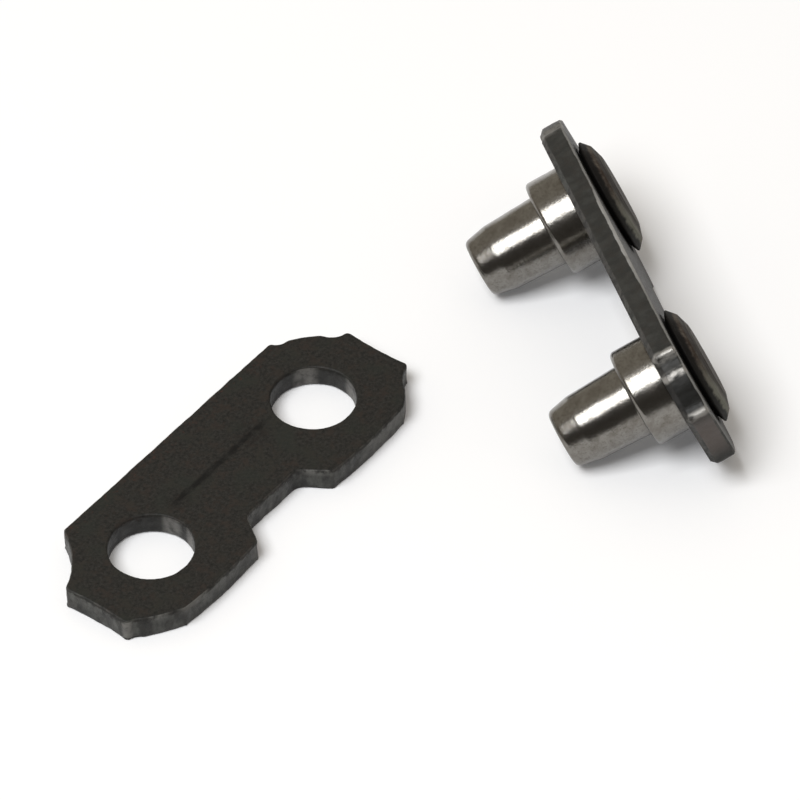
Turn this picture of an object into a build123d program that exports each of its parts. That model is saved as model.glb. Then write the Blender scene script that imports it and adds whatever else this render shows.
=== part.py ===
from build123d import *
import math
import os

# A saw chain connecting link, before it is fitted: a loose tie strap that lies flat, and a
# riveted tie strap with two stepped rivets, which leans on its lobes and on its rivet tips.
# X runs along the loose strap, its straight edge faces +Y, and Z = 0 is the resting plane.
# The origin is half way between the loose strap's holes. All sizes are in millimetres.

# --- both straps: the same stamping but for the ends ---------------------------------------------
HOLE_SPACING = 10.0         # between the two rivet centres
HOLE_DIAMETER = 3.32
STRAP_THICKNESS = 1.02
HOLES_TO_BACK = 3.26        # line of the hole centres to the straight edge
HOLES_TO_LOBE = 3.10        # line of the hole centres to the corners of the lobe edges
HOLES_TO_FLOOR = 1.92       # line of the hole centres to the floor of the notch
END_REACH = 3.71            # hole centre to the end of the strap
LOBE_OUTER_REACH = 1.72     # hole centre to the outer corner of the lobe edge
LOBE_INNER_REACH = 2.68     # hole centre to the inner corner of the lobe edge
NOTCH_SLOPE_RUN = 0.82      # run of the notch's sloping side, along the strap

# --- ends: the end edges, and the shoulders that slope to them from the straight edge ------------
LOOSE_BACK_REACH = 1.35     # hole centre to the end of the straight edge, loose strap
LOOSE_SHOULDER_HEIGHT = 1.23    # upper end corner above the line of the holes, loose strap
LOOSE_TOE_DROP = 1.83       # lower end corner below the line of the holes, loose strap
RIVETED_BACK_REACH = 1.60   # the same three on the riveted strap
RIVETED_SHOULDER_HEIGHT = 1.54
RIVETED_TOE_DROP = 1.52
SHOULDER_CROWN = 0.05       # the shoulder bows out between its two hollows
BACK_HOLLOW_RUN = 0.68      # hollow beside the end of the straight edge
BACK_HOLLOW_DEPTH = 0.13
HORN_HOLLOW_RUN = 0.98      # hollow beside the upper end corner
HORN_HOLLOW_DEPTH = 0.20
LEFT_SHOULDER_HOLLOW = 0.29     # the loose strap's left shoulder is one hollow

# --- the other edges of the straps ---------------------------------------------------------------
LOBE_CROWN = 0.10           # the lobe edge bows out
TOE_CROWN = 0.04            # the edge between toe and lobe bows out
TOE_HOLLOW_RUN = 0.62       # hollow beside the toe
TOE_HOLLOW_DEPTH = 0.09
RIGHT_TOE_HOLLOW_RUN = 1.30     # the same, at the loose strap's right end
RIGHT_TOE_HOLLOW_DEPTH = 0.15
END_HOLLOW = 0.08           # the end edge bows in
CORNER_OVER_BREAK = 0.03    # pointed corners are rounder by this than their edges are broken
RIVETED_HORN_ROUND = 0.32   # upper end corners, riveted strap
HOLLOW_BLEND = 0.60         # where a hollow runs into the edge's bow
NOTCH_ROUND = 0.45          # inner corners of the notch
SHEARED_EDGE_BREAK = 0.08   # broken edges of the face that the punch left
ROLLED_EDGE_BREAK = 0.20    # broken edges of the other face, where the punch went in

# --- rivets --------------------------------------------------------------------------------------
FLANGE_DIAMETER = 4.08      # bearing on which a drive link turns
FLANGE_LENGTH = 1.49
FLANGE_ROUND = 0.20
HUB_CLEARANCE = 0.17        # all round, between the hub's foot and the loose strap's hole
HUB_LENGTH = 2.20           # foot to nose
NOSE_DIAMETER = 2.82        # where the nose starts
NOSE_LENGTH = 0.98
NOSE_BLEND = 2.50           # hub into nose
TIP_DIAMETER = 2.42
TIP_ROUND = 0.25
HEAD_SEAT_DIAMETER = 4.10   # spun head behind the strap
HEAD_RIM_DIAMETER = 5.00
HEAD_RIM_LIFT = 0.20        # the rim stands off the strap
HEAD_KNEE_DIAMETER = 4.20   # the head's side steepens outside this
HEAD_KNEE_HEIGHT = 0.55
HEAD_FLAT_DIAMETER = 3.10
HEAD_HEIGHT = 0.72

# --- where the riveted strap lies ----------------------------------------------------------------
RIVETED_X = 15.255          # half way between its rivets, from the origin
RIVETED_Y = -7.437
RIVETED_TURN = -123.86      # its length against +X, degrees

TOUCH = 0.001               # points closer than this are one point

HALF_SPACING = HOLE_SPACING / 2
CORNER_ROUND = ROLLED_EDGE_BREAK + CORNER_OVER_BREAK
HUB_DIAMETER = HOLE_DIAMETER - 2 * HUB_CLEARANCE
RIVET_REACH = FLANGE_LENGTH + HUB_LENGTH + NOSE_LENGTH
PLAIN = (0, 0)              # run and depth where a side has no hollow
SHOULDER = (SHOULDER_CROWN, (BACK_HOLLOW_RUN, BACK_HOLLOW_DEPTH), (HORN_HOLLOW_RUN, HORN_HOLLOW_DEPTH))
HOLLOW_SHOULDER = (-LEFT_SHOULDER_HOLLOW, PLAIN, PLAIN)
TOE_HOLLOW = (TOE_HOLLOW_RUN, TOE_HOLLOW_DEPTH)
RIGHT_TOE_HOLLOW = (RIGHT_TOE_HOLLOW_RUN, RIGHT_TOE_HOLLOW_DEPTH)


def side_between(start, end, crown, first_hollow, last_hollow):
    """Edges of a side that bows out by crown, with a hollow (run, depth) at either end of it."""
    start, end = Vector(*start), Vector(*end)
    along = (end - start).normalized()
    first = start + along * first_hollow[0]
    last = end - along * last_hollow[0]
    edges = [SagittaArc(first, last, crown)]
    if first_hollow != PLAIN:
        edges.append(SagittaArc(start, first, -first_hollow[1]))
    if last_hollow != PLAIN:
        edges.append(SagittaArc(last, end, -last_hollow[1]))
    return edges


def half_face(back_reach, shoulder_height, toe_drop, shoulder, toe_hollow, horn_round):
    """Half of the stamping, towards +X. Its holes lie on X and its straight edge faces +Y."""
    middle_back, middle_floor = (0, HOLES_TO_BACK), (0, -HOLES_TO_FLOOR)
    back_corner = (HALF_SPACING + back_reach, HOLES_TO_BACK)
    end_corner = (HALF_SPACING + END_REACH, shoulder_height)
    toe = (HALF_SPACING + END_REACH, -toe_drop)
    lobe_outer = (HALF_SPACING + LOBE_OUTER_REACH, -HOLES_TO_LOBE)
    lobe_inner = (HALF_SPACING - LOBE_INNER_REACH, -HOLES_TO_LOBE)
    floor_corner = (lobe_inner[0] - NOTCH_SLOPE_RUN, -HOLES_TO_FLOOR)

    edges = [Line(middle_floor, middle_back), Line(middle_back, back_corner)]
    edges += side_between(back_corner, end_corner, *shoulder)
    edges += side_between(end_corner, toe, -END_HOLLOW, PLAIN, PLAIN)
    edges += side_between(toe, lobe_outer, TOE_CROWN, toe_hollow, PLAIN)
    edges += side_between(lobe_outer, lobe_inner, LOBE_CROWN, PLAIN, PLAIN)
    edges += [Line(lobe_inner, floor_corner), Line(floor_corner, middle_floor)]
    face = make_face(Wire.combine(edges)[0].edges())

    rounds = {back_corner: CORNER_ROUND, end_corner: horn_round, toe: CORNER_ROUND,
              lobe_outer: CORNER_ROUND, lobe_inner: CORNER_ROUND, floor_corner: NOTCH_ROUND}
    for vertex in face.vertices().filter_by(lambda v: v.X > TOUCH):
        radius = next((rounds[point] for point in rounds if is_at(vertex, point)), HOLLOW_BLEND)
        face = fillet(face.vertices().sort_by_distance(vertex)[0], radius)
    return face


def is_at(vertex, point):
    """True where the vertex lies at the point."""
    return math.hypot(vertex.X - point[0], vertex.Y - point[1]) < TOUCH


def strap(right_half, left_half, hole_break):
    """The stamping, its rolled edges on Z = 0 and the sheared ones above.

    Its left half is given towards +X too and is mirrored. The holes' rims are broken by
    hole_break, or stay square where a rivet fills them.
    """
    blank = extrude(right_half + mirror(left_half, about=Plane.YZ), STRAP_THICKNESS)
    blank = chamfer(blank.edges().group_by(Axis.Z)[0], ROLLED_EDGE_BREAK)
    blank = chamfer(blank.edges().group_by(Axis.Z)[-1], SHEARED_EDGE_BREAK)
    for side in (-1, 1):
        punch = Cylinder(HOLE_DIAMETER / 2, STRAP_THICKNESS, align=(Align.CENTER, Align.CENTER, Align.MIN))
        blank -= Pos(side * HALF_SPACING, 0, 0) * punch
    if hole_break:
        rims = blank.edges().filter_by(GeomType.CIRCLE)
        blank = chamfer(rims.filter_by(lambda rim: abs(rim.radius - HOLE_DIAMETER / 2) < TOUCH), hole_break)
    return blank


def rivet():
    """One turned piece on Z: flange, hub and nose above Z = 0, shank and spun head below it."""
    back = -STRAP_THICKNESS
    flange_edge = (FLANGE_DIAMETER / 2, FLANGE_LENGTH)
    nose_start = (NOSE_DIAMETER / 2, FLANGE_LENGTH + HUB_LENGTH)
    tip_edge = (TIP_DIAMETER / 2, RIVET_REACH)
    section = make_face(Polyline(
        (0, RIVET_REACH), tip_edge, nose_start, (HUB_DIAMETER / 2, FLANGE_LENGTH), flange_edge,
        (FLANGE_DIAMETER / 2, 0), (HOLE_DIAMETER / 2, 0), (HOLE_DIAMETER / 2, back),
        (HEAD_SEAT_DIAMETER / 2, back), (HEAD_RIM_DIAMETER / 2, back - HEAD_RIM_LIFT),
        (HEAD_KNEE_DIAMETER / 2, back - HEAD_KNEE_HEIGHT), (HEAD_FLAT_DIAMETER / 2, back - HEAD_HEIGHT),
        (0, back - HEAD_HEIGHT), close=True,
    ))
    for point, radius in ((tip_edge, TIP_ROUND), (nose_start, NOSE_BLEND), (flange_edge, FLANGE_ROUND)):
        section = fillet([vertex for vertex in section.vertices() if is_at(vertex, point)], radius)
    return revolve(Plane.XZ * section, Axis.Z)


def riveted_place():
    """Where the riveted strap comes to rest: its lobes and both rivet tips touch Z = 0.

    Its own frame has Z out of the flanges, Y towards its straight edge and Z = 0 on the face
    the flanges stand on. The lean is the angle of that Z below the level.
    """
    taper = math.atan2((NOSE_DIAMETER - TIP_DIAMETER) / 2, NOSE_LENGTH)
    tip_y = TIP_DIAMETER / 2 + TIP_ROUND * math.tan(taper) - TIP_ROUND / math.cos(taper)
    tip_z = RIVET_REACH - TIP_ROUND
    lobe_y = HOLES_TO_LOBE + LOBE_CROWN
    rise = lobe_y - tip_y
    run = tip_z + ROLLED_EDGE_BREAK
    lean = math.acos(TIP_ROUND / math.hypot(rise, run)) - math.atan2(run, rise)
    height = lobe_y * math.cos(lean) - ROLLED_EDGE_BREAK * math.sin(lean)
    turn = math.radians(RIVETED_TURN)
    along = Vector(math.cos(turn), math.sin(turn), 0)
    level = Vector(math.sin(turn), -math.cos(turn), 0)
    outward = level * math.cos(lean) - Vector(0, 0, 1) * math.sin(lean)
    return Plane(Vector(RIVETED_X, RIVETED_Y, height), x_dir=along, z_dir=outward).location


loose_ends = LOOSE_BACK_REACH, LOOSE_SHOULDER_HEIGHT, LOOSE_TOE_DROP
riveted_ends = RIVETED_BACK_REACH, RIVETED_SHOULDER_HEIGHT, RIVETED_TOE_DROP
loose_right = half_face(*loose_ends, SHOULDER, RIGHT_TOE_HOLLOW, CORNER_ROUND)
loose_left = half_face(*loose_ends, HOLLOW_SHOULDER, TOE_HOLLOW, CORNER_ROUND)
riveted_half = half_face(*riveted_ends, SHOULDER, TOE_HOLLOW, RIVETED_HORN_ROUND)

place = riveted_place()
nodes = {
    "loose_strap": strap(loose_right, loose_left, SHEARED_EDGE_BREAK),
    "riveted_strap": place * Rot(0, 180, 0) * strap(riveted_half, riveted_half, 0),
    "near_rivet": place * Pos(HALF_SPACING, 0, 0) * rivet(),
    "far_rivet": place * Pos(-HALF_SPACING, 0, 0) * rivet(),
}

os.makedirs("parts", exist_ok=True)
for name, solid in nodes.items():
    export_step(solid, f"parts/{name}.step")
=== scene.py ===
import math
from collections import namedtuple
from types import SimpleNamespace

import bmesh
import bpy
from mathutils import Matrix, Vector, noise


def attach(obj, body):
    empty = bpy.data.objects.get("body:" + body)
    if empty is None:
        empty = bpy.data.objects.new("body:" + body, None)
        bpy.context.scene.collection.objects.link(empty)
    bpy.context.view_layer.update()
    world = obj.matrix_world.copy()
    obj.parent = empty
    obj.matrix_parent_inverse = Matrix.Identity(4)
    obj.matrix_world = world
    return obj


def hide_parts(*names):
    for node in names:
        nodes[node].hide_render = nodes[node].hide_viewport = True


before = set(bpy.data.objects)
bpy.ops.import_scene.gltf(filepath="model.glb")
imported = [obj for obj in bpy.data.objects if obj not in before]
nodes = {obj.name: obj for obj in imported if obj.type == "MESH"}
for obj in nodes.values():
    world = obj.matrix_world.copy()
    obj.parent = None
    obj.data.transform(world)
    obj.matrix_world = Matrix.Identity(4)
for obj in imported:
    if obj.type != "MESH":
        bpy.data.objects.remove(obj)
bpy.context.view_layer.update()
MM = 0.001

# --- where the pieces lie, in mm -----------------------------------------------------------------
# Each strap is measured from a point half way between its holes, on the face that shows most: u
# runs along the hole line, v towards the straight edge, and w out of that face.
Place = namedtuple("Place", "origin u v w")
HALF_PITCH = 5.0        # from that point to the middle of each hole
THICK = 1.02            # a strap's thickness
LEAN = math.radians(22.6023)
TURN = math.radians(-123.86)
ALONG = Vector((math.cos(TURN), math.sin(TURN), 0))
OUT = Vector((math.sin(TURN) * math.cos(LEAN), -math.cos(TURN) * math.cos(LEAN), -math.sin(LEAN)))
FLAT = Place(Vector((0, 0, THICK)), Vector((1, 0, 0)), Vector((0, 1, 0)), Vector((0, 0, 1)))
LEANT = Place(Vector((15.255, -7.437, 2.8774)), ALONG, OUT.cross(ALONG), OUT)
NEAR, FAR = 1, -1       # the riveted strap's ends, by the sign of u


def rivet_centre(place, side):
    """Where the rivet's axis meets the strap's outer face."""
    return place.origin + place.u * (HALF_PITCH * side)


# --- shapes, in mm -------------------------------------------------------------------------------
EASE = 0.05             # the smallest round on an edge
FINEST = 0.13           # the longest edge of a face off the flats
WAVER = 0.040           # how far sheared edges and walls waver
UNDER_BREAK = 0.03      # height of the worn slope round the loose strap's underside
UNDER_SLOPE = 0.15, 0.25    # the heights between which the CAD's slope there ends
WELD = 0.002            # points nearer than this are one
EASED_WELD = 0.004      # the same, once the edges are eased
LEAST_FLAT = 0.5        # mm2, the smallest face that is part of a flat
MOST_CUTS = 8           # how often an edge may be halved
LEVEL = 0.9999          # how squarely a flat faces out, as a cosine
STEEP = 0.985           # below this cosine a surface wavers, fully so from STEEP - FADE
FADE = 0.15
WAVES = (0.62, 1.1, Vector((0, 0, 0))), (0.38, 3.3, Vector((7, 3, 5)))  # share, scale, offset
SAME_PLANE = math.radians(0.6)
SHARP_EDGE = math.radians(25)
SHARP_TURNED = math.radians(40)

TURN_STEPS = 144        # faces round a rivet
ARC_STEPS = 8           # and along each rounded corner of its section
LONGEST_RUN = 0.07      # between two points of the section
TURNED_IN, LUMPS, GROOVES = 0.004, 0.012, 0.005     # how far its surface lies inside the section
ON_AXIS = 1e-6          # a smaller radius is a point
# a rivet's half section: radius, height over the strap's outer face, and the corner's round
RIVET_SECTION = (
    (0.00, 4.67, 0.00), (1.21, 4.67, 0.25), (1.41, 3.69, 1.00), (1.49, 1.49, 0.03),
    (2.04, 1.49, 0.20), (2.04, 0.00, 0.00), (1.66, 0.00, 0.00), (1.66, -THICK, 0.00),
    (2.05, -THICK, 0.03), (2.50, -1.22, 0.06), (2.10, -1.57, 0.12), (1.55, -1.74, 0.14),
    (0.00, -1.74, 0.00))


def add_piece(name, bm, material, node):
    mesh = bpy.data.meshes.new(name)
    bm.to_mesh(mesh)
    bm.free()
    piece = bpy.data.objects.new(name, mesh)
    bpy.context.scene.collection.objects.link(piece)
    mesh.materials.append(material)
    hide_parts(node)
    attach(piece, "root")
    return piece


def ease_edges(bm):
    bm.normal_update()
    sharp = [edge for edge in bm.edges if edge.calc_face_angle(0) > SHARP_EDGE]
    bmesh.ops.bevel(bm, geom=sharp, offset=EASE * MM, offset_type="OFFSET", segments=3,
                    profile=0.5, affect="EDGES", clamp_overlap=True)
    bmesh.ops.remove_doubles(bm, verts=bm.verts, dist=EASED_WELD * MM)
    bmesh.ops.dissolve_degenerate(bm, dist=0.001 * MM, edges=bm.edges)
    bm.normal_update()


def divide(bm):
    """Halves the edges longer than FINEST, then cuts the faces into triangles."""
    for cut in range(MOST_CUTS):
        long = [edge for edge in bm.edges if edge.calc_length() > FINEST * MM]
        if long:
            bmesh.ops.subdivide_edges(bm, edges=long, cuts=1, use_grid_fill=True)
    bmesh.ops.triangulate(bm, faces=bm.faces)
    bmesh.ops.remove_doubles(bm, verts=bm.verts, dist=WELD * MM)
    bm.normal_update()


def waver(bm, outward):
    """Walls and edges go in by up to WAVER. The rims of the flats stay in their planes."""
    for vert in bm.verts:
        at = vert.co / MM
        depth = sum(part * noise.noise(at * scale + offset) for part, scale, offset in WAVES)
        depth = max(0.0, min(1.0, 0.5 + 0.9 * depth))
        share = max(0.0, min(1.0, (STEEP - abs(vert.normal.dot(outward))) / FADE))
        push = vert.normal * (MM * WAVER * share * depth)
        vert.co -= push - outward * push.dot(outward) if vert.is_boundary else push


def fill_flats(bm, outward):
    """Each flat goes back in, inside its own rim."""
    rim = [edge for edge in bm.edges if edge.is_boundary]
    heights = [edge.verts[0].co.dot(outward) for edge in rim]
    middle = (max(heights) + min(heights)) / 2
    for upper in (True, False):
        level = [edge for edge, height in zip(rim, heights) if (height > middle) == upper]
        bmesh.ops.triangle_fill(bm, edges=level, use_beauty=True, normal=outward)
    bmesh.ops.recalc_face_normals(bm, faces=bm.faces)
    bm.normal_update()


def stamping(name, node, place, material, under_break=None):
    """The CAD stamping with its edges eased, and its sheared walls and edges wavering inwards.

    The slope round its underside is made as low as under_break, if that is given.
    """
    outward = place.w
    bm = bmesh.new()
    bm.from_mesh(nodes[node].data)
    bmesh.ops.remove_doubles(bm, verts=bm.verts, dist=WELD * MM)
    bmesh.ops.dissolve_limit(bm, angle_limit=SAME_PLANE, verts=bm.verts, edges=bm.edges)
    if under_break:
        low, high = UNDER_SLOPE
        for vert in bm.verts:
            if low * MM < vert.co.z < high * MM:
                vert.co.z = under_break * MM
    ease_edges(bm)
    # the flats come out while the rest is divided and wavers
    flats = [face for face in bm.faces
             if abs(face.normal.dot(outward)) > LEVEL and face.calc_area() > LEAST_FLAT * MM * MM]
    bmesh.ops.delete(bm, geom=flats, context="FACES_ONLY")
    divide(bm)
    waver(bm, outward)
    fill_flats(bm, outward)

    piece = add_piece(name, bm, material, node)
    mesh = piece.data
    mesh.shade_smooth()
    normals = [vertex.normal.copy() for vertex in mesh.vertices]
    for polygon in mesh.polygons:
        facing = polygon.normal.dot(outward)
        if abs(facing) > LEVEL:
            for index in polygon.vertices:
                normals[index] = outward * math.copysign(1, facing)
    mesh.normals_split_custom_set_from_vertices(normals)
    return piece


def rounded(section):
    """The section's points with its corners rounded off, no two of them far apart."""
    points = []
    for index, (radius, height, round_off) in enumerate(section):
        corner = Vector((radius, height))
        if not round_off:
            points.append(corner)
            continue
        before = (Vector(section[index - 1][:2]) - corner).normalized()
        after = (Vector(section[index + 1][:2]) - corner).normalized()
        half = before.angle(after) / 2
        reach = round_off / math.tan(half)
        centre = corner + (before + after).normalized() * (round_off / math.sin(half))
        start, end = corner + before * reach - centre, corner + after * reach - centre
        for step in range(ARC_STEPS + 1):
            points.append(centre + start.slerp(end, step / ARC_STEPS) * round_off)
    dense = [points[0]]
    for point in points[1:]:
        gap = point - dense[-1]
        parts = max(1, math.ceil(gap.length / LONGEST_RUN))
        dense += [dense[-1].lerp(point, part / parts) for part in range(1, parts + 1)]
    return dense


def turned(name, node, place, side, material):
    """A rivet turned on its axis, with slight lumps and the grooves of the lathe."""
    centre = rivet_centre(place, side)
    bm = bmesh.new()
    rings = []
    for radius, height in rounded(RIVET_SECTION):
        if radius < ON_AXIS:
            rings.append([bm.verts.new((centre + place.w * height) * MM)])
            continue
        groove = 0.5 + 0.5 * noise.noise(Vector((radius * 3, height * 9, side)))
        ring = []
        for step in range(TURN_STEPS):
            angle = 2 * math.pi * step / TURN_STEPS
            around = place.u * math.cos(angle) + place.v * math.sin(angle)
            at = centre + around * radius + place.w * height
            lump = 0.5 + 0.5 * noise.noise(at * 1.7 + Vector((3 * side, 0, 0)))
            inset = TURNED_IN + LUMPS * lump + GROOVES * groove
            ring.append(bm.verts.new((at - around * inset) * MM))
        rings.append(ring)
    for one, other in zip(rings, rings[1:]):
        for step in range(TURN_STEPS):
            following = (step + 1) % TURN_STEPS
            if len(one) == 1:
                bm.faces.new((one[0], other[step], other[following]))
            elif len(other) == 1:
                bm.faces.new((one[step], other[0], one[following]))
            else:
                bm.faces.new((one[step], other[step], other[following], one[following]))
    bmesh.ops.recalc_face_normals(bm, faces=bm.faces)
    piece = add_piece(name, bm, material, node)
    piece.data.shade_smooth()
    piece.data.set_sharp_from_angle(angle=SHARP_TURNED)
    return piece


# --- materials -----------------------------------------------------------------------------------
MIX_FACTOR, MIX_A, MIX_B, MIX_RESULT = 0, 6, 7, 2       # a Mix node's sockets for colours


class Graph:
    """The node tree of a material or a world, written as expressions."""

    def __init__(self, owner):
        self.owner = owner
        owner.use_nodes = True
        self.tree = owner.node_tree
        self.tree.nodes.clear()

    def node(self, kind, inputs=None, **settings):
        n = self.tree.nodes.new("ShaderNode" + kind)
        for key, value in settings.items():
            setattr(n, key, value)
        for key, value in (inputs or {}).items():
            socket = n.inputs[key]
            if isinstance(value, bpy.types.NodeSocket):
                self.tree.links.new(value, socket)
            elif socket.type == "RGBA":
                socket.default_value = (*value, 1.0)
            else:
                socket.default_value = value
        return n

    def math(self, operation, a, b=0.0):
        return self.node("Math", {0: a, 1: b}, operation=operation).outputs[0]

    def add(self, a, b):
        return self.math("ADD", a, b)

    def subtract(self, a, b):
        return self.math("SUBTRACT", a, b)

    def size(self, a):
        return self.math("ABSOLUTE", a)

    def squares(self, a, b):
        return self.add(self.product(a, a), self.product(b, b))

    def product(self, *values):
        made = values[0]
        for value in values[1:]:
            made = self.math("MULTIPLY", made, value)
        return made

    def highest(self, *values):
        top = values[0]
        for value in values[1:]:
            top = self.math("MAXIMUM", top, value)
        return top

    def dot(self, a, b):
        return self.node("VectorMath", {0: a, 1: b}, operation="DOT_PRODUCT").outputs["Value"]

    def xyz(self, x, y, z):
        return self.node("CombineXYZ", {0: x, 1: y, 2: z}).outputs[0]

    def measure(self, place, origin):
        """Sets u, v and w: where a point is from the origin along the place's axes, in mm."""
        point = self.node("TexCoord").outputs["Object"]
        point = self.node("VectorMath", {0: point, "Scale": 1 / MM}, operation="SCALE").outputs[0]
        point = self.node("VectorMath", {0: point, 1: origin}, operation="SUBTRACT").outputs[0]
        self.u, self.v, self.w = (self.dot(point, axis) for axis in (place.u, place.v, place.w))

    def near(self, u, v, radius):
        """1 where u and v are these, falling to 0 at the radius."""
        square = self.squares(self.subtract(self.u, u), self.subtract(self.v, v))
        return self.span(square, radius * radius, 0.0)

    def spots(self, *places):
        return self.highest(*[self.near(*place) for place in places])

    def noise(self, vector, scale, detail=4.0, rough=0.55):
        return self.node("TexNoise", {"Vector": vector, "Scale": scale, "Detail": detail,
                                      "Roughness": rough}).outputs["Fac"]

    def span(self, value, low, high, out_low=0.0, out_high=1.0, smooth=True):
        """out_low where the value is low, out_high where it is high, and between them elsewhere."""
        return self.node("MapRange", {
            "Value": value, "From Min": low, "From Max": high, "To Min": out_low,
            "To Max": out_high}, interpolation_type="SMOOTHSTEP" if smooth else "LINEAR").outputs[0]

    def mix(self, factor, a, b):
        mixed = self.node("Mix", {MIX_FACTOR: factor, MIX_A: a, MIX_B: b}, data_type="RGBA")
        return mixed.outputs[MIX_RESULT]

    def paint(self, under, tint, *masks):
        """The colour under, with the tint over it as far as all the masks allow."""
        return self.mix(self.product(*masks), under, tint)

    def bump(self, height, depth, strength):
        return self.node("Bump", {"Height": height, "Distance": depth * MM,
                                  "Strength": strength}).outputs[0]

    def principled(self, inputs):
        shader = self.node("BsdfPrincipled", inputs)
        self.node("OutputMaterial", {"Surface": shader.outputs[0]})
        return self.owner


# the straps' colours, linear RGB. In what follows, noise is mostly between 0.3 and 0.7
GRAIN_DARK, GRAIN_LIGHT = (0.0060, 0.0056, 0.0047), (0.0275, 0.0262, 0.0230)
BROWNED, GREENED = (0.0255, 0.0180, 0.0140), (0.0160, 0.0190, 0.0150)
WALL_DARK, WALL_LIGHT = (0.018, 0.018, 0.0162), (0.072, 0.073, 0.066)
WALL_STAIN, WALL_PALE = (0.024, 0.021, 0.0175), (0.098, 0.096, 0.088)
# painted shade in the holes
BORE_SHADE = 0.0075, 0.0071, 0.0058
EDGE_WORN = 0.10, 0.097, 0.090
# bare steel, also used as painted highlight
BARE_STEEL_HIGHLIGHT = 0.40, 0.385, 0.36
SHADE = 0.004, 0.004, 0.0036
END_WALL = 0.096, 0.080, 0.072
# painted highlight along the torn edge
TORN_HIGHLIGHT_END, TORN_HIGHLIGHT_WAIST = (0.19, 0.186, 0.176), (0.30, 0.292, 0.278)
# painted sheen on the back near the ends
BACK_END_SHEEN = 0.115, 0.113, 0.106
SCRIBED = 0.0008, 0.0008, 0.0007
# painted glint
GLINT = 0.135, 0.133, 0.124
RUST = 0.050, 0.021, 0.015
BACK = -THICK           # w of a strap's back
LINE_AT = 0.68          # v of the scriber's line
BORE_REACH = 2.3        # a wall this near a hole's middle is the hole's own


def riveted_wear_and_painted_light(g, s, colour):
    """Burnished corners partly lit as painted highlights, painted shade near each end, a lighter
    end wall, a torn edge behind with a painted highlight along it, and painted sheen on the back
    near the ends.
    """
    # burnished marks on the ridges, partly wear and partly painted highlight where the ridges catch
    # the light
    soft_lit_mark = g.product(g.near(-6.85, 3.0, 0.62), g.span(s.blotch, 0.30, 0.62), 0.55)
    burnished_lit_marks = g.highest(g.spots((6.62, 3.22, 0.36), (7.22, 2.66, 0.26), (8.66, 1.62, 0.34)),
                      soft_lit_mark)
    bare_and_lit = g.product(burnished_lit_marks, g.span(s.streak, 0.32, 0.55), 0.75)
    # painted shade: a dark patch near each end
    colour = g.paint(colour, SHADE, g.spots((7.9, 2.1, 0.9), (-8.5, 1.7, 0.95)), 0.8)
    colour = g.paint(colour, END_WALL, g.near(8.9, 0.2, 1.5), s.wall, 0.9)
    # a painted highlight along the torn edge, broader and brighter between the rivets than at the
    # ends
    waist = g.span(g.size(g.u), 3.8, 0.8)
    reach = g.add(g.span(waist, 0.0, 1.0, -0.955, -0.895),
                  g.span(s.wander, 0.3, 0.7, -0.02, 0.02))
    colour = g.paint(colour, g.mix(waist, TORN_HIGHLIGHT_END, TORN_HIGHLIGHT_WAIST),
                     g.span(g.subtract(g.w, reach), 0.02, -0.02), g.span(g.v, 0.5, 1.5),
                     g.span(s.wander, 0.25, 0.5, 0.7, 1.0), g.span(s.flatness, 0.985, 0.9))
    # painted sheen: the back lighter near the ends
    colour = g.paint(colour, BACK_END_SHEEN, g.span(g.w, BACK + 0.02, BACK + 0.002),
                     g.span(g.size(g.u), 6.6, 8.4), g.span(s.cloud, 0.35, 0.6, 0.3, 1.0), 0.7)
    return colour, bare_and_lit, None


def loose_wear_and_painted_light(g, s, colour):
    """The scriber's line between the holes, bare steel with painted highlights on the walls,
    painted glints below the edges, and specks of rust.
    """
    sway = g.product(g.subtract(s.wander, 0.5), 0.30)
    off_line = g.size(g.add(g.subtract(g.v, LINE_AT), sway))
    line = g.product(g.span(off_line, 0.20, 0.05), g.span(g.size(g.u), 3.2, 2.4),
                     g.span(s.blotch, 0.36, 0.56, 0.45, 1.0))
    smudge = g.product(g.spots((2.0, 0.66, 0.85), (-2.45, 0.75, 0.7)),
                       g.span(s.blotch, 0.40, 0.62), 0.5)
    line = g.highest(line, smudge)
    colour = g.paint(colour, SCRIBED, line, 0.95)
    # bare steel on the hole walls and a corner, partly wear and partly painted highlight
    burnished_lit_spots = g.spots((6.45, -0.70, 0.55), (6.05, 1.25, 0.6), (-3.4, 0.3, 0.5), (-3.5, -0.7, 0.4),
                     (-8.71, -1.80, 0.35))
    bare_and_lit = g.product(burnished_lit_spots, g.span(s.flatness, 0.6, 0.3),
                     g.span(s.blotch, 0.30, 0.62, 0.25, 1.0), 0.34)
    # painted glints: lighter colour just under the near edges
    glints = g.spots((1.95, -2.55, 0.75), (-6.2, -3.15, 0.9), (-7.7, -2.6, 0.5),
                     (-1.75, -2.4, 0.6))
    colour = g.paint(colour, GLINT, glints, g.span(g.w, -0.40, -0.10),
                     g.span(s.flatness, 0.97, 0.8), g.span(s.blotch, 0.30, 0.55), 0.8)
    specks = g.span(g.noise(s.at, 5.0, rough=0.7), 0.56, 0.68)
    colour = g.paint(colour, RUST, specks, g.span(g.v, 2.3, 3.1), 0.8)
    return colour, bare_and_lit, line


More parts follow.
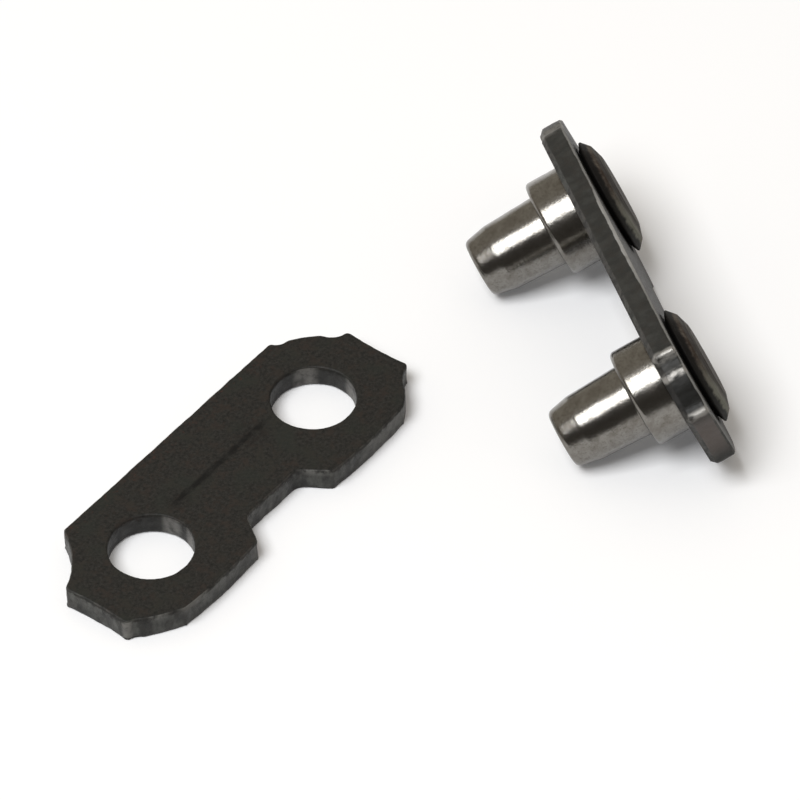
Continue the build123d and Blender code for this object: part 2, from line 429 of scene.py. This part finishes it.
def strap_steel(name, place, riveted):
    """Blackened sheet: granular faces, streaked walls where it was sheared, worn edges."""
    g = Graph(bpy.data.materials.new(name))
    g.measure(place, place.origin)
    at = g.xyz(g.u, g.v, g.w)
    grain = g.noise(at, 7.0, detail=6.0, rough=0.75)
    s = SimpleNamespace(
        at=at,
        flatness=g.size(g.dot(g.node("NewGeometry").outputs["Normal"], place.w)),
        streak=g.noise(g.xyz(g.u, g.v, g.product(g.w, 0.55)), 2.9),
        wander=g.noise(at, 1.3, detail=3.0, rough=0.6),
        blotch=g.noise(at, 2.2, rough=0.65),
        cloud=g.noise(at, 0.55, detail=3.0, rough=0.6))
    # the blackened skin rolls over the edge for a varying part of the wall
    skin = (-0.10, -0.02) if riveted else (-0.30, -0.04)
    rolled = g.subtract(g.w, g.span(s.streak, 0.35, 0.65, *skin, smooth=False))
    s.wall = g.product(g.span(s.flatness, 0.6, 0.3), g.span(rolled, 0.05, -0.07))
    bore = g.spots((HALF_PITCH, 0, BORE_REACH), (-HALF_PITCH, 0, BORE_REACH))
    bore = g.span(bore, 0.10, 0.20)

    # faces: a fine dark grain, with brown and green-grey patches
    face = g.mix(g.span(grain, 0.33, 0.70), GRAIN_DARK, GRAIN_LIGHT)
    face = g.paint(face, BROWNED, g.span(s.blotch, 0.46, 0.66, 0.0, 0.75))
    face = g.paint(face, GREENED, g.span(s.cloud, 0.48, 0.68, 0.0, 0.70))

    # walls: streaks run through the thickness, as the punch left them
    streaks = 0.28 if riveted else 1.0
    side = g.mix(g.span(s.streak, 0.35, 0.7, 0.0, streaks), WALL_DARK, WALL_LIGHT)
    side = g.paint(side, WALL_STAIN, g.span(s.blotch, 0.42, 0.68, 0.0, 0.6))
    if not riveted:
        side = g.paint(side, WALL_PALE, g.near(5.9, -2.7, 2.4),
                       g.span(s.blotch, 0.62, 0.40, 0.35, 0.9))
    # painted shade: the holes' own walls darker
    side = g.paint(side, BORE_SHADE, bore, g.span(s.blotch, 0.35, 0.6, 0.95, 0.55))
    colour = g.mix(s.wall, face, side)

    # edges and corners rubbed lighter, hardly so in the holes
    colour = g.paint(colour, EDGE_WORN, g.span(s.flatness, 0.30, 0.55),
                     g.span(s.flatness, 0.985, 0.85), g.span(s.blotch, 0.35, 0.62),
                     g.span(bore, 0.0, 1.0, 0.35, 0.05))
    colour, bare_and_lit, line = (riveted_wear_and_painted_light if riveted else loose_wear_and_painted_light)(g, s, colour)
    # bare steel where the marks sit, partly painted highlight
    colour = g.paint(colour, BARE_STEEL_HIGHLIGHT, bare_and_lit)

    rough = g.add(g.span(grain, 0.3, 0.7, 0.62, 0.42, smooth=False), g.product(s.wall, -0.06))
    rough = g.add(rough, g.product(bare_and_lit, -0.10))
    pits = g.noise(at, 22.0, detail=3.0, rough=0.6)
    height = g.add(g.product(grain, 0.7), g.product(pits, 0.3))
    if line is not None:
        height = g.subtract(height, g.product(line, 0.8))
    height = g.add(height, g.product(s.streak, s.wall, 1.2))
    return g.principled({
        "Base Color": colour, "Metallic": g.product(bare_and_lit, 0.8), "Roughness": rough,
        "Specular IOR Level": 0.26, "Normal": g.bump(height, depth=0.020, strength=0.9)})


# the rivets' colours
STEEL_LIGHT, STEEL_DULL = (0.232, 0.224, 0.208), (0.158, 0.146, 0.130)
STEEL_SPECK = 0.085, 0.078, 0.062
# painted shade at the flange's foot and underneath
FOOT_SHADE = 0.03, 0.027, 0.024
UNDERSIDE_SHADE = 0.095, 0.087, 0.076
HEAD_BROWN, HEAD_DARK = (0.092, 0.078, 0.063), (0.040, 0.029, 0.022)
HEAD_SPECK = 0.020, 0.015, 0.011
HEAD_PALE = 0.185, 0.187, 0.155
# painted shade on the head
HEAD_SHADE = 0.0055, 0.0048, 0.0042
SPUN = 0.130, 0.119, 0.104


def rivet_steel(name, place, side):
    """Bright turned steel, with fine rings. The spun head behind the strap has gone brown."""
    g = Graph(bpy.data.materials.new(name))
    g.measure(place, rivet_centre(place, side))
    u, v, w = g.u, g.v, g.w
    at = g.xyz(u, v, w)
    radius = g.math("POWER", g.squares(u, v), 0.5)
    rings = g.noise(g.xyz(w, radius, 0.0), 14.0, rough=0.7)
    smear = g.noise(at, 2.4, detail=5.0, rough=0.65)
    speck = g.noise(at, 9.0, rough=0.7)

    # the turned part, with painted shade at the flange's foot and underneath
    colour = g.mix(g.span(smear, 0.3, 0.75), STEEL_LIGHT, STEEL_DULL)
    colour = g.paint(colour, STEEL_SPECK, g.span(speck, 0.48, 0.68, 0.0, 0.5))
    colour = g.paint(colour, FOOT_SHADE, g.span(w, 0.16, 0.0), g.span(w, -0.3, 0.0), 0.7)
    darkest = 0.62 if side == NEAR else 0.85
    # painted shade underneath, deeper on the far rivet
    colour = g.paint(colour, UNDERSIDE_SHADE, g.span(v, -0.7, -1.6, 0.0, darkest))

    # the head: brown, paler at its two ends, with painted shade next to the strap and across the
    # middle
    head = g.span(w, -1.0, -1.06)
    brown = g.mix(g.span(smear, 0.36, 0.62), HEAD_BROWN, HEAD_DARK)
    brown = g.paint(brown, HEAD_SPECK, g.span(speck, 0.50, 0.68, 0.0, 0.55))
    tips = g.highest(g.span(g.add(u, g.product(smear, 1.6)), 2.1, 3.0),
                     g.span(g.subtract(u, g.product(smear, 0.8)), -1.7, -2.4, 0.0, 0.35))
    brown = g.paint(brown, HEAD_PALE, tips, g.span(w, -1.70, -1.64), 0.8)
    middle = g.product(g.span(w, -1.50, -1.68, 0.0, 0.72), g.span(g.size(u), 2.1, 1.5),
                       g.span(smear, 0.66, 0.46, 0.6, 1.0))
    # painted shade next to the strap and across the middle
    next_to_strap = g.span(g.add(w, g.product(smear, 0.3)), -1.35, -1.23)
    brown = g.paint(brown, HEAD_SHADE, g.highest(next_to_strap, middle), 0.97)

    # the head's back: rings left by the spinning tool, and a hint of bare metal inside them
    ring = g.add(g.product(radius, 4.0), g.product(smear, 0.22))
    spun = g.noise(g.xyz(ring, g.product(w, 2.0), g.product(u, 0.25)), 2.2, rough=0.65)
    behind = g.span(w, -1.66, -1.70)
    brown = g.paint(brown, SPUN, behind, g.span(spun, 0.36, 0.66), 0.85)
    spun_metal = g.product(behind, g.span(radius, 1.5, 1.25), 0.3)

    rough = g.add(g.span(smear, 0.3, 0.7, 0.14, 0.25, smooth=False), g.product(head, 0.48))
    height = g.add(g.product(rings, 0.6), g.product(g.noise(at, 12.0, rough=0.6), 0.5))
    height = g.add(height, g.product(head, spun, 2.0))
    return g.principled({
        "Base Color": g.mix(head, colour, brown), "Roughness": rough,
        "Metallic": g.add(g.subtract(1.0, head), spun_metal),
        "Specular IOR Level": 0.15, "Normal": g.bump(height, depth=0.012, strength=0.7)})


straps = (
    stamping("loose_stamping", "loose_strap", FLAT,
             strap_steel("strap_loose", FLAT, riveted=False), UNDER_BREAK),
    stamping("riveted_stamping", "riveted_strap", LEANT,
             strap_steel("strap_riveted", LEANT, riveted=True)))
rivets = (
    turned("near_turned_rivet", "near_rivet", LEANT, NEAR, rivet_steel("rivet_near", LEANT, NEAR)),
    turned("far_turned_rivet", "far_rivet", LEANT, FAR, rivet_steel("rivet_far", LEANT, FAR)))

# --- floor ---------------------------------------------------------------------------------------
FLOOR_SIZE, FLOOR_MIDDLE = 1.2, (0.008, -0.002, 0)
FLOOR_WHITE = 0.92, 0.92, 0.925
FLOOR_GLOW, GLOW_STRENGTH = (0.94, 0.96, 1.0), 0.10     # seen by the camera and in reflections

bpy.ops.mesh.primitive_plane_add(size=FLOOR_SIZE, location=FLOOR_MIDDLE)
floor = bpy.context.object
floor.name = "floor"
g = Graph(bpy.data.materials.new("floor_white"))
rays = g.node("LightPath").outputs
seen = g.highest(rays["Is Camera Ray"], rays["Is Glossy Ray"])
floor.data.materials.append(g.principled({
    "Base Color": FLOOR_WHITE, "Roughness": 0.9, "Specular IOR Level": 0.1,
    "Emission Color": FLOOR_GLOW, "Emission Strength": g.product(seen, GLOW_STRENGTH)}))

# --- light ---------------------------------------------------------------------------------------
target = Vector((7.689, -2.165, 0)) * MM        # what the lamp and the camera look at


def stand(at, x, y, z):
    """The matrix that puts an object at a point, with these axes."""
    return Matrix.Translation(at) @ Matrix((x, y, z)).transposed().to_4x4()


# one rectangular lamp, its width parallel to the riveted strap's outer face
WINDOW_FROM = Vector((-0.491, 0.079, 0.864)).normalized()
WINDOW_AWAY, WINDOW_WIDE, WINDOW_TALL = 0.5, 0.28, 0.26
WINDOW_RADIANCE = 9.3       # what a mirror would show of it

lamp = bpy.data.lights.new("window", "AREA")
lamp.shape = "RECTANGLE"
lamp.size, lamp.size_y = WINDOW_WIDE, WINDOW_TALL
lamp.energy = WINDOW_RADIANCE * math.pi * WINDOW_WIDE * WINDOW_TALL
lamp.color = 0.985, 1.0, 1.02
window = bpy.data.objects.new("window", lamp)
across = OUT.cross(WINDOW_FROM).normalized()
window.matrix_world = stand(target + WINDOW_FROM * WINDOW_AWAY,
                            across, WINDOW_FROM.cross(across), WINDOW_FROM)
bpy.context.scene.collection.objects.link(window)

# the room: warm grey, lighter beyond the object, and dark on the camera's side
ROOM, ROOM_FAR, ROOM_DARK = (0.385, 0.352, 0.305), (0.53, 0.49, 0.42), (0.10, 0.092, 0.082)
FAR_WAY = Vector((0.1, 0.86, 0.5)).normalized()
DARK_WAY = Vector((-0.74, -0.6, 0.3)).normalized()

world = bpy.data.worlds.new("room")
bpy.context.scene.world = world
g = Graph(world)
direction = g.node("TexCoord").outputs["Generated"]
room = g.mix(g.span(g.dot(direction, FAR_WAY), 0.6, 0.92), ROOM, ROOM_FAR)
room = g.paint(room, ROOM_DARK, g.span(g.dot(direction, DARK_WAY), 0.45, 0.85))
background = g.node("Background", {"Color": room})
g.node("OutputWorld", {"Surface": background.outputs[0]})

# --- camera --------------------------------------------------------------------------------------
ELEVATION = math.radians(45.251)
ROLL = math.radians(-1.35)
AHEAD = Vector((0.77947, 0.62644, 0))       # the way it looks, over the ground
RIGHT = Vector((AHEAD.y, -AHEAD.x, 0))
CAMERA_AWAY = 0.3

lens = bpy.data.cameras.new("camera")
lens.lens = 345.6
lens.sensor_width = 36
lens.clip_start, lens.clip_end = 0.01, 5
camera = bpy.data.objects.new("camera", lens)
bpy.context.scene.collection.objects.link(camera)
back = AHEAD * -math.cos(ELEVATION) + Vector((0, 0, 1)) * math.sin(ELEVATION)
rolled_right = RIGHT * math.cos(ROLL) + back.cross(RIGHT) * math.sin(ROLL)
camera.matrix_world = stand(target + back * CAMERA_AWAY,
                            rolled_right, back.cross(rolled_right), back)
bpy.context.scene.camera = camera

bpy.context.scene.view_settings.view_transform = "Standard"
